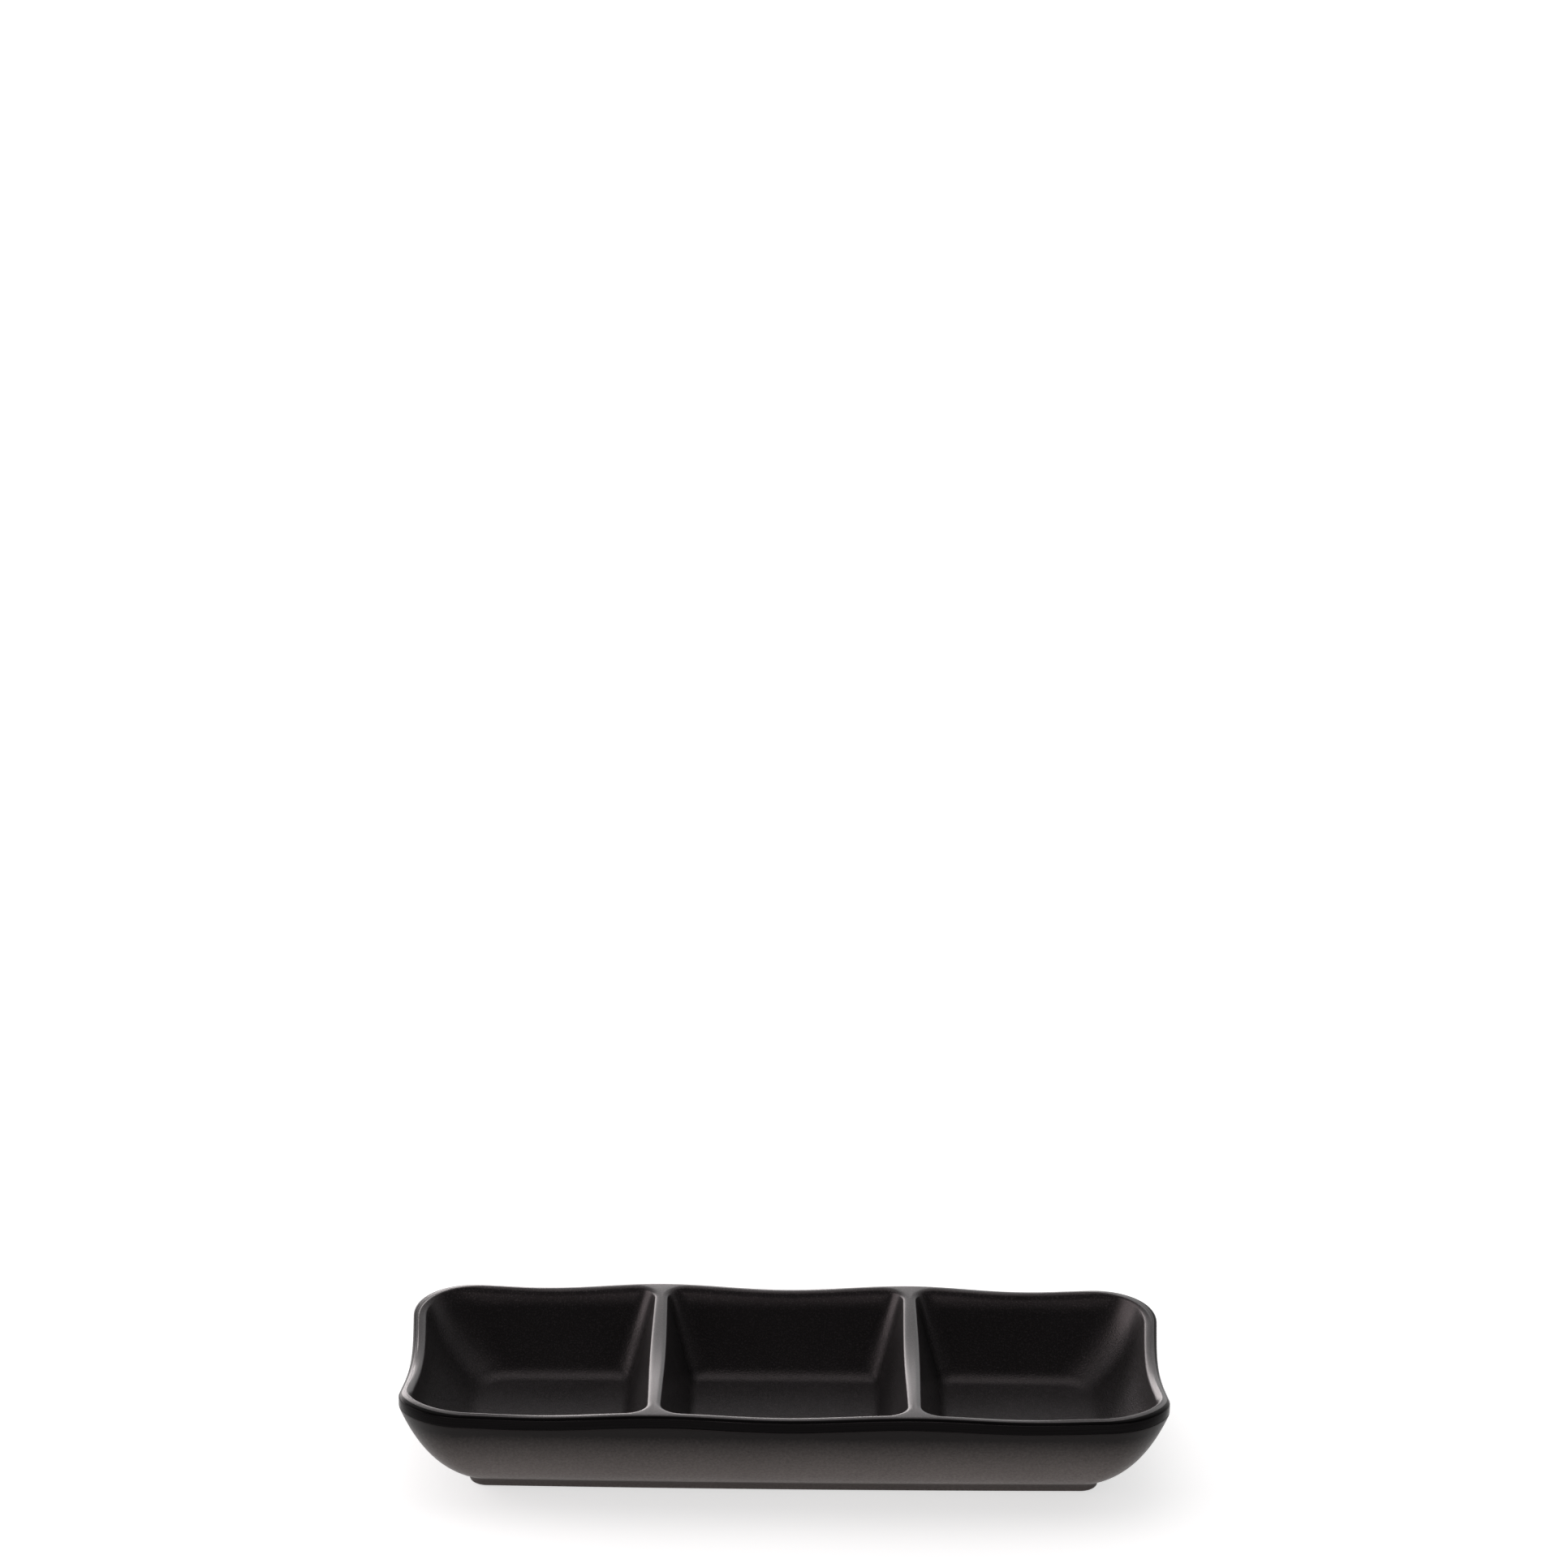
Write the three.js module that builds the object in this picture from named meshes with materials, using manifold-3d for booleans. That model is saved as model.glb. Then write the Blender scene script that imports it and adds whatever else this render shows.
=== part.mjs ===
// A condiment dish with three wells in a row, moulded from two bonded layers: a tray that makes the
// wells, dividers and rim, and a shell that makes the outside and the foot ring.
// Millimetres. X runs along the row of wells, Y across it, and Z up from the table.

import * as THREE from 'three';
import Module from 'manifold-3d';

// Outside: a rounded rectangle that narrows from the rim to the foot
const length = 210;
const width = 88;
const height = 28; // to the rim over the dividers, its highest points
const rimCornerRadius = 18.5;
const rimBow = 0.4; // how far each long side bows out at its middle
const endTaper = 18.5; // from the rim in to the foot, at each end
const sideTaper = 13.5; // the same at each long side
const bowlRimSlope = 22; // degrees from vertical, just under the rim
const bowlFootSlope = 67; // degrees from vertical, where the bowl meets the foot

// Foot ring and underside
const footHeight = 2.7;
const footCornerRadius = 8;
const footBow = 1.3;
const footNeckRadius = 1;
const footEdgeRadius = 0.7;
const footWidth = 3.5;
const recessDepth = 1.4;

// Rim: its crest dips over each well, and the tray's edge band wraps down over the outside
const bandHeight = 3.4;
const rimEdgeRadius = 0.9;
const sideLand = 0.3; // flat of the rim along each long side
const endLand = 1.4; // the same along each end
const middleDip = 1.3; // long sides, at the middle well
const outerDip = 1.1; // long sides, at the end wells
const endDip = 3.9; // short ends
const cornerDrop = 0.4; // corners, below the rim over the dividers

// Wells and dividers
const dividerSpacing = 70;
const dividerLand = 1.7;
const dividerSag = 1.5; // at the middle of a divider's top
const junctionRadius = 7.5; // in plan, where a divider meets the rim
const floorHeight = 5.2;
const endCornerFloorRadius = 5; // flat floor's corners at the dish's ends
const junctionFloorRadius = 1.2; // flat floor's corners beside a divider

// Well walls: the lip's radius, slopes in degrees from vertical under the lip and above the floor fillet,
// and how far the mouth and the flat floor lie inside the rim's outline or the divider's centre
const endWall = {
  mouth: rimEdgeRadius + endLand,
  lip: 1.6,
  lipSlope: 20,
  footSlope: 50,
  fillet: 8,
  floorInset: 22.5,
};
const sideWall = {
  mouth: rimEdgeRadius + sideLand,
  lip: 2.6,
  lipSlope: 20,
  footSlope: 35,
  fillet: 6,
  floorInset: 18.3,
};
const dividerWall = {
  mouth: dividerLand / 2,
  lip: 1,
  lipSlope: 16,
  footSlope: 19,
  fillet: 3,
  floorInset: 11.1,
};

// Layers, and the grooves that keep the shell's ribs under the dividers hollow
const trayWall = 1.7;
const bondGap = 0.3;
const shellWall = 1.8;
const ribSeatWidth = 2; // roof of the tray's groove over a rib
const grooveRoofWidth = 2;
const grooveEndWall = 4; // from the foot ring's inside to a groove's end
const grooveEndSlope = 10;

// Facets
const outline = { long: 24, end: 8, corner: 7 };
const wellOutline = { long: 8, end: 6, corner: 5 };
const grooveOutline = { long: 6, end: 2, corner: 3 };
const bowlSteps = 8;
const wallSteps = 4;
const arcSteps = 3;

const halfLength = length / 2;
const halfWidth = width / 2;
const dividerX = dividerSpacing / 2;
const shellOffset = trayWall + bondGap;
const rad = THREE.MathUtils.degToRad;
const clamp01 = (value) => THREE.MathUtils.clamp(value, 0, 1);
const lerp = THREE.MathUtils.lerp;
const wave = (phase) => Math.cos((Math.PI / 2) * phase) ** 2; // 1 at phase 0, 0 at phases -1 and 1
const steps = (count) => Array.from({ length: count + 1 }, (_, i) => i / count);

// How far the rim's crest lies below its highest level, over a point of the plan
function crestDrop(x, y) {
  const along = Math.abs(x);
  const waveEnd = halfLength - rimCornerRadius / 2;
  const outerPhase = clamp01((along - dividerX) / (waveEnd - dividerX));
  const side = along < dividerX ? middleDip * wave(x / dividerX) : outerDip * wave(2 * outerPhase - 1);
  const atEnd = clamp01((along - halfLength + rimCornerRadius) / rimCornerRadius);
  const atDivider = clamp01(1 - Math.abs(along - dividerX) / junctionRadius);
  const toCorner = clamp01((along - dividerX) / (halfLength - rimCornerRadius - dividerX));
  const across = wave(y / halfWidth);
  return side + endDip * atEnd * across + dividerSag * atDivider * across + cornerDrop * toCorner ** 2;
}

// A section between two points of inset and height that leaves each at its slope from vertical:
// a parabola through the meeting of the end tangents, as inset at a height
function slopeCurve(top, topSlope, foot, footSlope) {
  const [steep, shallow] = [Math.tan(rad(topSlope)), Math.tan(rad(footSlope))];
  const bend = ((top.z - foot.z) * shallow - (foot.inset - top.inset)) / (shallow - steep);
  const [bendInset, bendZ] = [top.inset + bend * steep, top.z - bend];
  return (z) => {
    const square = top.z - 2 * bendZ + foot.z;
    const slope = 2 * (top.z - bendZ);
    const t = (2 * (top.z - z)) / (slope + Math.sqrt(slope ** 2 - 4 * square * (top.z - z)));
    return top.inset * (1 - t) ** 2 + 2 * bendInset * t * (1 - t) + foot.inset * t ** 2;
  };
}

// A well wall's straight run and floor fillet, moved into the material by an offset
function wallSection(wall, offset) {
  const [lipSlope, footSlope] = [rad(wall.lipSlope), rad(wall.footSlope)];
  const lip = wall.lip - offset;
  const fillet = wall.fillet + offset;
  const top = {
    inset: wall.mouth + lip * Math.cos(lipSlope),
    z: height - wall.lip + lip * Math.sin(lipSlope),
  };
  const foot = {
    inset: wall.floorInset - fillet * Math.cos(footSlope),
    z: floorHeight - offset + fillet * (1 - Math.sin(footSlope)),
  };
  return { top, foot, fillet, insetAt: slopeCurve(top, wall.lipSlope, foot, wall.footSlope) };
}

// How far below the crest a divider is as thick as a given width, between walls moved in by an offset
function dividerDepth(thickness, offset) {
  const { top } = wallSection(dividerWall, offset);
  return height - top.z + (thickness / 2 - top.inset) / Math.tan(rad(dividerWall.lipSlope));
}

// Stations down a wall from a start height to the flat floor, as inset and height
function wallStations(wall, offset, startZ) {
  const { foot, fillet, insetAt } = wallSection(wall, offset);
  const run = steps(wallSteps).map((t) => {
    const z = lerp(startZ, foot.z, t);
    return { inset: insetAt(z), z };
  });
  const arc = steps(arcSteps).slice(1).map((t) => {
    const slope = rad(lerp(wall.footSlope, 90, t));
    return {
      inset: wall.floorInset - fillet * Math.cos(slope),
      z: floorHeight - offset + fillet * (1 - Math.sin(slope)),
    };
  });
  return [...run, ...arc];
}

// Stations down a well's open side: the rounded lip from the crest, then the wall and its fillet
function wellStations(wall, crest) {
  const lipEnd = crest - wall.lip * (1 - Math.sin(rad(wall.lipSlope)));
  const below = wallStations(wall, 0, lipEnd);
  const lip = steps(arcSteps).slice(0, -1).map((t) => {
    const slope = rad(lerp(90, wall.lipSlope, t));
    return {
      inset: below[0].inset - wall.lip * (Math.cos(rad(wall.lipSlope)) - Math.cos(slope)),
      z: crest - wall.lip * (1 - Math.sin(slope)),
    };
  });
  return [...lip, ...below];
}

// Stations down a well's hidden side at an offset, from the ledge under the rim or the roof over a rib
function hiddenStations(offset) {
  return (wall, crest) => {
    const ledge = wall === dividerWall ? dividerDepth(ribSeatWidth, trayWall) : bandHeight;
    return wallStations(wall, offset, crest - ledge - (offset - trayWall));
  };
}

// Points round a rounded rectangle, anticlockwise from its front left: u and v place the corner's
// centre between the ends and the sides, and the normal points out
function perimeter({ long, end, corner }) {
  const points = [];
  for (let quarter = 0; quarter < 4; quarter += 1) {
    const [nx, ny] = [[0, -1], [1, 0], [0, 1], [-1, 0]][quarter];
    const count = quarter % 2 === 0 ? long : end;
    for (let i = 0; i < count; i += 1) {
      const along = (2 * i) / count - 1;
      points.push({ u: nx || -ny * along, v: ny || nx * along, nx, ny });
    }
    for (let i = 0; i < corner; i += 1) {
      const turn = ((Math.PI / 2) * i) / corner;
      const [cos, sin] = [Math.cos(turn), Math.sin(turn)];
      points.push({ u: nx || -ny, v: ny || nx, nx: nx * cos - ny * sin, ny: ny * cos + nx * sin });
    }
  }
  return points;
}

// A perimeter point on a rounded rectangle between two ends, with its own corner radius at each
function planPoint({ u, v, nx, ny }, { low, high, half, lowRadius, highRadius, bow }) {
  const radius = u < 0 ? lowRadius : highRadius;
  const x = lerp(low + lowRadius, high - highRadius, (u + 1) / 2) + nx * radius;
  const y = v * (half - radius) + ny * radius;
  return { x, y: y * (1 + (bow / half) * (1 - (x / halfLength) ** 2)) };
}

const bowAt = (z) => lerp(rimBow, footBow, clamp01((height - z) / (height - footHeight)));

// The bowl's outside: insets, corner radius and bow at a height
const bowlTop = { inset: 0, z: height - bandHeight };
const bowlEnd = slopeCurve(bowlTop, bowlRimSlope, { inset: endTaper, z: footHeight }, bowlFootSlope);
const bowlSide = slopeCurve(bowlTop, bowlRimSlope, { inset: sideTaper, z: footHeight }, bowlFootSlope);

function bowlPlan(z, extraInset = 0) {
  const share = (bowlTop.z - z) / (bowlTop.z - footHeight);
  const end = halfLength - bowlEnd(z) - extraInset;
  const radius = lerp(rimCornerRadius, footCornerRadius, share) - extraInset;
  const half = halfWidth - bowlSide(z) - extraInset;
  return { low: -end, high: end, half, lowRadius: radius, highRadius: radius, bow: bowAt(z) };
}

// The crest's height over each point of the outline
const rimPerimeter = perimeter(outline);
const rimPlan = { ...bowlPlan(bowlTop.z), bow: 0 };
const rimCrest = rimPerimeter.map((point) => {
  const { x, y } = planPoint(point, rimPlan);
  return height - crestDrop(x, y);
});

// A ring of the bowl, part of the way from a depth below the crest down to the foot
function bowlRing(depth, share) {
  return rimPerimeter.map((point, i) => {
    const z = lerp(rimCrest[i] - depth, footHeight, share);
    return { ...planPoint(point, bowlPlan(z)), z };
  });
}

// A ring of the rim: set in from the band's face and raised above the band's lower edge
function rimRing(setIn, rise) {
  return bowlRing(bandHeight, 0).map(({ x, y, z }, i) => {
    const { nx, ny } = rimPerimeter[i];
    return { x: x - nx * setIn, y: y - ny * setIn, z: z + rise };
  });
}

// A ring of the foot, set in from the bowl's end, at one height
function footRing(setIn, z) {
  return rimPerimeter.map((point) => ({ ...planPoint(point, bowlPlan(footHeight, setIn)), z }));
}

// The three wells, from left to right, with the wall at each end
const wells = [
  { low: -halfLength, lowWall: endWall, high: -dividerX, highWall: dividerWall },
  { low: -dividerX, lowWall: dividerWall, high: dividerX, highWall: dividerWall },
  { low: dividerX, lowWall: dividerWall, high: halfLength, highWall: endWall },
];
const wellPerimeter = perimeter(wellOutline);

// A corner's radius at a station: a set radius at the mouth, and the flat floor's radius below
function cornerRadius(wall, offset, stations, sideStations, k) {
  const [mouthRadius, floorRadius] =
    wall === endWall ? [rimCornerRadius, endCornerFloorRadius] : [junctionRadius, junctionFloorRadius];
  const first = stations.length - 1 - arcSteps - wallSteps;
  const last = stations.length - 1 - arcSteps;
  const shrink = (from, to) =>
    (stations[to].inset - stations[from].inset + sideStations[to].inset - sideStations[from].inset) / 2;
  const atFirst =
    wall === endWall ? mouthRadius - stations[first].inset : mouthRadius - shrink(0, first) + offset;
  const atLast = floorRadius + shrink(last, stations.length - 1);
  if (k < first) return atFirst + shrink(k, first);
  if (k > last) return floorRadius + shrink(k, stations.length - 1);
  return lerp(atFirst, atLast, (k - first) / wallSteps);
}

// A well's rings from its mouth to its flat floor, by the stations that a function gives for a wall
function wellRings({ low, lowWall, high, highWall }, offset, stationsOf) {
  const columns = wellPerimeter.map((point) => {
    const mouth = planPoint(point, {
      low: low + lowWall.mouth,
      high: high - highWall.mouth,
      half: halfWidth - sideWall.mouth,
      lowRadius: lowWall === endWall ? rimCornerRadius - lowWall.mouth : junctionRadius,
      highRadius: highWall === endWall ? rimCornerRadius - highWall.mouth : junctionRadius,
      bow: 0,
    });
    const outerX = mouth.x + point.nx * (point.u < 0 ? lowWall : highWall).mouth;
    const outerY = mouth.y + point.ny * sideWall.mouth;
    const crest = height - crestDrop(outerX, outerY);
    const [lows, highs, sides] = [lowWall, highWall, sideWall].map((wall) => stationsOf(wall, crest));
    return sides.map((side, k) => {
      const z = lerp(side.z, (point.u < 0 ? lows : highs)[k].z, point.nx ** 2);
      const plan = {
        low: low + lows[k].inset,
        high: high - highs[k].inset,
        half: halfWidth - side.inset,
        lowRadius: cornerRadius(lowWall, offset, lows, sides, k),
        highRadius: cornerRadius(highWall, offset, highs, sides, k),
        bow: bowAt(z),
      };
      return { ...planPoint(point, plan), z };
    });
  });
  return columns[0].map((_, k) => columns.map((column) => column[k]));
}

// A closed skin: points, and triangles that face out. A patch faces the way that its travel from
// ring to ring crosses with its anticlockwise rings.
class Skin {
  points = [];
  triangles = [];

  add(ring) {
    const first = this.points.length;
    this.points.push(...ring);
    return ring.map((_, i) => first + i);
  }

  strip(from, to) {
    for (let i = 0; i + 1 < from.length; i += 1) {
      this.triangles.push([from[i], to[i], to[i + 1]], [from[i], to[i + 1], from[i + 1]]);
    }
  }

  loft(rings) {
    for (let k = 0; k + 1 < rings.length; k += 1) {
      this.strip([...rings[k], rings[k][0]], [...rings[k + 1], rings[k + 1][0]]);
    }
  }

  // A flat floor: a fan from its middle, facing up, or down if told so
  floor(ring, facesDown = false) {
    const corners = ring.map((i) => this.points[i]);
    const middle = (axis) => corners.reduce((sum, corner) => sum + corner[axis], 0) / corners.length;
    const [centre] = this.add([{ x: middle('x'), y: middle('y'), z: middle('z') }]);
    ring.forEach((corner, i) => {
      const next = ring[(i + 1) % ring.length];
      this.triangles.push(facesDown ? [centre, next, corner] : [centre, corner, next]);
    });
  }

  // A web between an outer loop and an inner one that start side by side: each inner point joins the
  // outer points that it lies nearest to
  web(outer, inner, facesDown) {
    const apart = (a, b) => {
      const [p, q] = [this.points[a], this.points[b]];
      return Math.hypot(p.x - q.x, p.y - q.y);
    };
    const face = (...triangle) => this.triangles.push(facesDown ? triangle.reverse() : triangle);
    const [out, into] = [[...outer, outer[0]], [...inner, inner[0]]];
    let i = 0;
    for (let j = 0; j < inner.length; j += 1) {
      const next = into[j + 1];
      const closing = j === inner.length - 1;
      face(out[i], next, into[j]);
      while (i < outer.length && (closing || apart(out[i + 1], next) < apart(out[i], next))) {
        face(out[i], out[i + 1], next);
        i += 1;
      }
    }
  }

  // The web between the outline and the three wells' mouths, with a strip along each divider
  rimWeb(outer, [left, middle, right], facesDown = false) {
    const { long, end, corner } = wellOutline;
    const highStart = long + corner;
    const highEnd = highStart + end;
    const lowStart = 2 * long + 3 * corner + end;
    const lowEnd = lowStart + end;
    const inner = [
      ...left.slice(0, highStart + 1),
      ...middle.slice(lowEnd),
      ...middle.slice(0, highStart + 1),
      ...right.slice(lowEnd),
      ...right.slice(0, lowStart + 1),
      ...middle.slice(highEnd, lowStart + 1),
      ...left.slice(highEnd),
    ];
    this.web(outer, inner, facesDown);
    for (const [low, high] of [[left, middle], [middle, right]]) {
      const edges = [low.slice(highStart, highEnd + 1), high.slice(lowStart, lowEnd + 1).reverse()];
      this.strip(...(facesDown ? edges.reverse() : edges));
    }
  }

  geometry() {
    const geometry = new THREE.BufferGeometry();
    const positions = this.points.flatMap(({ x, y, z }) => [x, y, z]);
    geometry.setAttribute('position', new THREE.Float32BufferAttribute(positions, 3));
    geometry.setIndex(this.triangles.flat());
    return geometry;
  }
}

// The tray: wells and rim above, the band outside, and the wells' backs below
function traySkin() {
  const skin = new Skin();
  const mouths = wells.map((well) => {
    const rings = wellRings(well, 0, wellStations).map((ring) => skin.add(ring));
    skin.floor(rings.at(-1));
    skin.loft([...rings].reverse());
    return rings[0];
  });
  const edge = steps(arcSteps).map((t) => {
    const slope = rad(lerp(90, 0, t));
    const setIn = rimEdgeRadius * (1 - Math.cos(slope));
    return skin.add(rimRing(setIn, bandHeight - rimEdgeRadius * (1 - Math.sin(slope))));
  });
  const bandFoot = skin.add(rimRing(0, 0));
  skin.rimWeb(edge[0], mouths);
  skin.loft([...edge, bandFoot]);
  const backs = wells.map((well) => {
    const rings = wellRings(well, trayWall, hiddenStations(trayWall)).map((ring) => skin.add(ring));
    skin.loft(rings);
    skin.floor(rings.at(-1), true);
    return rings[0];
  });
  skin.rimWeb(bandFoot, backs, true);
  return skin;
}

// The shell: seats for the wells' backs above, the bowl and foot outside, and the recess below
function shellSkin() {
  const skin = new Skin();
  const seats = wells.map((well) => {
    const rings = wellRings(well, shellOffset, hiddenStations(shellOffset)).map((ring) => skin.add(ring));
    skin.floor(rings.at(-1));
    skin.loft([...rings].reverse());
    return rings[0];
  });
  const bowl = steps(bowlSteps).map((share) => skin.add(bowlRing(bandHeight + bondGap, share)));
  skin.rimWeb(bowl[0], seats);
  const neck = steps(arcSteps).slice(1).map((t) => {
    const slope = rad(lerp(bowlFootSlope, 0, t));
    const setIn = footNeckRadius * (Math.cos(slope) - Math.cos(rad(bowlFootSlope)));
    return footRing(setIn, footHeight - footNeckRadius * (Math.sin(rad(bowlFootSlope)) - Math.sin(slope)));
  });
  const face = footNeckRadius * (1 - Math.cos(rad(bowlFootSlope)));
  const edge = steps(arcSteps).map((t) => {
    const slope = rad(lerp(0, 90, t));
    return footRing(face + footEdgeRadius * (1 - Math.cos(slope)), footEdgeRadius * (1 - Math.sin(slope)));
  });
  const inside = [footRing(face + footWidth, 0), footRing(face + footWidth, recessDepth)];
  const foot = [...neck, ...edge, ...inside].map((ring) => skin.add(ring));
  skin.loft([...bowl, ...foot]);
  skin.floor(foot.at(-1), true);
  return skin;
}

// A groove under a divider: open at the recess, with sides that keep the shell's wall
function grooveSkin(centreX) {
  const skin = new Skin();
  const offset = shellOffset + shellWall;
  const { foot, insetAt } = wallSection(dividerWall, offset);
  const roof = height - dividerSag - dividerDepth(grooveRoofWidth, offset);
  const mouthHalf = bowlPlan(footHeight).half - footWidth - grooveEndWall;
  const ring = (z) => {
    const spread = Math.max(foot.z - z, 0) * Math.tan(rad(dividerWall.footSlope));
    const half = insetAt(Math.max(z, foot.z)) + spread;
    const radius = grooveRoofWidth / 2;
    const plan = {
      low: centreX - half,
      high: centreX + half,
      half: mouthHalf - (z - recessDepth) * Math.tan(rad(grooveEndSlope)),
      lowRadius: radius,
      highRadius: radius,
      bow: 0,
    };
    return perimeter(grooveOutline).map((point) => ({ ...planPoint(point, plan), z }));
  };
  const rings = steps(wallSteps).map((t) => skin.add(ring(lerp(roof, foot.z, t))));
  rings.push(skin.add(ring(0)));
  skin.floor(rings[0]);
  skin.loft(rings);
  skin.floor(rings.at(-1), true);
  return skin;
}

// Boolean cuts
const manifold = await Module();
manifold.setup();

function toSolid(skin) {
  const vertProperties = new Float32Array(skin.points.flatMap(({ x, y, z }) => [x, y, z]));
  const triVerts = new Uint32Array(skin.triangles.flat());
  return new manifold.Manifold(new manifold.Mesh({ numProp: 3, vertProperties, triVerts }));
}

function toGeometry(solid) {
  const { vertProperties, triVerts } = solid.getMesh();
  const geometry = new THREE.BufferGeometry();
  geometry.setAttribute('position', new THREE.BufferAttribute(vertProperties, 3));
  geometry.setIndex(new THREE.BufferAttribute(triVerts, 1));
  return geometry;
}

function shellGeometry() {
  const grooves = [-dividerX, dividerX].map((x) => toSolid(grooveSkin(x)));
  return toGeometry(grooves.reduce((solid, groove) => solid.subtract(groove), toSolid(shellSkin())));
}

function piece(name, geometry, look) {
  geometry.computeVertexNormals();
  const mesh = new THREE.Mesh(geometry, new THREE.MeshStandardMaterial({ metalness: 0, ...look }));
  mesh.name = name;
  return mesh;
}

const dish = new THREE.Group();
dish.name = 'divided_dish';
dish.add(piece('inner_tray', traySkin().geometry(), { color: 0x1f1d1f, roughness: 0.5 }));
dish.add(piece('outer_shell', shellGeometry(), { color: 0x37332f, roughness: 0.6 }));

export default dish;
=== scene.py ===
"""Looks for the divided dish: its two mouldings with fine rounding, their finishes and a small studio."""

import math
from collections import namedtuple

import bpy
from mathutils import Matrix, Vector
from mathutils.geometry import tessellate_polygon


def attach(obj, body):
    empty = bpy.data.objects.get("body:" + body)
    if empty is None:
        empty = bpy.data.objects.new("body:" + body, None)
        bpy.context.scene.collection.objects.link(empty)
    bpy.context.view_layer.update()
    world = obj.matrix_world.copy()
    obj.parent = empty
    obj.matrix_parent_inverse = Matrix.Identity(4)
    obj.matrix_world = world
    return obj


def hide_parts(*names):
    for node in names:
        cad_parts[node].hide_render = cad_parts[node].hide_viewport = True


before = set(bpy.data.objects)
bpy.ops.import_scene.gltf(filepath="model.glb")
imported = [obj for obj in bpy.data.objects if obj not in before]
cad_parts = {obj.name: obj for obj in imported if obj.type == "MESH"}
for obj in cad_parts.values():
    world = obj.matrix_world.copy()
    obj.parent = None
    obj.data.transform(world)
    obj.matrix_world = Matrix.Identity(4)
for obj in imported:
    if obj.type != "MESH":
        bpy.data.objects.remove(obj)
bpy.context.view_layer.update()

MM = 0.001

# Outside. Shapes are in millimetres, and slopes in degrees from vertical.
LENGTH = 210
WIDTH = 88
HEIGHT = 28
RIM_CORNER_RADIUS = 18.5
RIM_BOW = 0.4
END_TAPER = 18.5
SIDE_TAPER = 13.5
BOWL_RIM_SLOPE = 22
BOWL_FOOT_SLOPE = 67

# Foot ring and underside
FOOT_HEIGHT = 2.7
FOOT_CORNER_RADIUS = 6
FOOT_BOW = 1.3
FOOT_NECK_RADIUS = 1.8
FOOT_EDGE_RADIUS = 0.7
FOOT_WIDTH = 3.5
RECESS_DEPTH = 1.4
RECESS_EDGE_RADIUS = 0.5

# Rim and its edge band
BAND_HEIGHT = 3.4
BAND_WOBBLE = 0.065
# Waves of the wobble: how many go round the dish, their relative size and their phase
BAND_WAVES = ((5, 1, 0.6), (13, 0.7, 2.1), (31, 0.45, 4.0))
SEAM_RADIUS = 0.2
SEAM_GAP = 0.06
SEAM_DEPTH = 0.9
RIM_EDGE_RADIUS = 0.9
# How far the rim takes to round over outwards, what a corner adds to that, and what it adds to the radius
# of an end well's mouth to make room for it
RIM_ROLL = 1.5
CORNER_ROLL = 1.15
CORNER_WIDENING = 2.8
CREST_FLAT = 0.2
SIDE_LAND = 0.3
END_LAND = 1.4
MIDDLE_DIP = 1.3
OUTER_DIP = 1.1
END_DIP = 3.9
CORNER_DROP = 0.4

# Wells and dividers
DIVIDER_X = 35
DIVIDER_LAND = 1.7
DIVIDER_SAG = 1.5
JUNCTION_RADIUS = 7.5
FLOOR_HEIGHT = 5.2
END_CORNER_FLOOR_RADIUS = 5
JUNCTION_FLOOR_RADIUS = 1.2

# Layers, and the grooves under the dividers
TRAY_WALL = 1.7
BOND_GAP = 0.3
SHELL_WALL = 1.8
RIB_SEAT_WIDTH = 2
GROOVE_ROOF_WIDTH = 2
GROOVE_END_WALL = 4
GROOVE_END_SLOPE = 10

# Facets. An outline has so many along a long side, along an end and round a corner.
OUTLINE = (144, 48, 28)
WELL_OUTLINE = (48, 36, 20)
GROOVE_OUTLINE = (12, 4, 6)
BOWL_STEPS = 36
WALL_STEPS = 16
ARC_STEPS = 9
EDGE_STEPS = 4
# The step of the rim's roll, out of ARC_STEPS, at which the polished band starts
POLISH_START = 3

HALF_LENGTH = LENGTH / 2
HALF_WIDTH = WIDTH / 2
SHELL_OFFSET = TRAY_WALL + BOND_GAP

# The crest is where the rim starts to round over into the well, and the land ends at the lip's radius.
# The slopes are those under the lip and above the floor's fillet. All insets are from the rim's outline,
# or from a divider's middle.
Wall = namedtuple("Wall", "crest land lip lip_slope foot_slope fillet floor_inset")
END_WALL = Wall(
    crest=RIM_ROLL + CREST_FLAT,
    land=RIM_EDGE_RADIUS + END_LAND,
    lip=1.6,
    lip_slope=20,
    foot_slope=50,
    fillet=8,
    floor_inset=22.5,
)
SIDE_WALL = Wall(
    crest=RIM_ROLL + CREST_FLAT,
    land=RIM_EDGE_RADIUS + SIDE_LAND,
    lip=2.6,
    lip_slope=20,
    foot_slope=35,
    fillet=6,
    floor_inset=18.3,
)
DIVIDER_WALL = Wall(
    crest=CREST_FLAT,
    land=DIVIDER_LAND / 2,
    lip=1,
    lip_slope=16,
    foot_slope=19,
    fillet=3,
    floor_inset=11.1,
)

# A spot on an outline runs from -1 to 1 along (u) and across (v), and has an outward normal.
Spot = namedtuple("Spot", "u v nx ny")
# A rounded rectangle between two ends, with its half width, a corner radius at each end, and a bow
Plan = namedtuple("Plan", "low high half low_radius high_radius bow")


def lerp(a, b, t):
    return a + (b - a) * t


def clamp01(value):
    return min(max(value, 0), 1)


def wave(phase):
    return math.cos(math.pi / 2 * phase) ** 2


def steps(count):
    return [i / count for i in range(count + 1)]


def sin_deg(angle):
    return math.sin(math.radians(angle))


def cos_deg(angle):
    return math.cos(math.radians(angle))


def tan_deg(angle):
    return math.tan(math.radians(angle))


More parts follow.
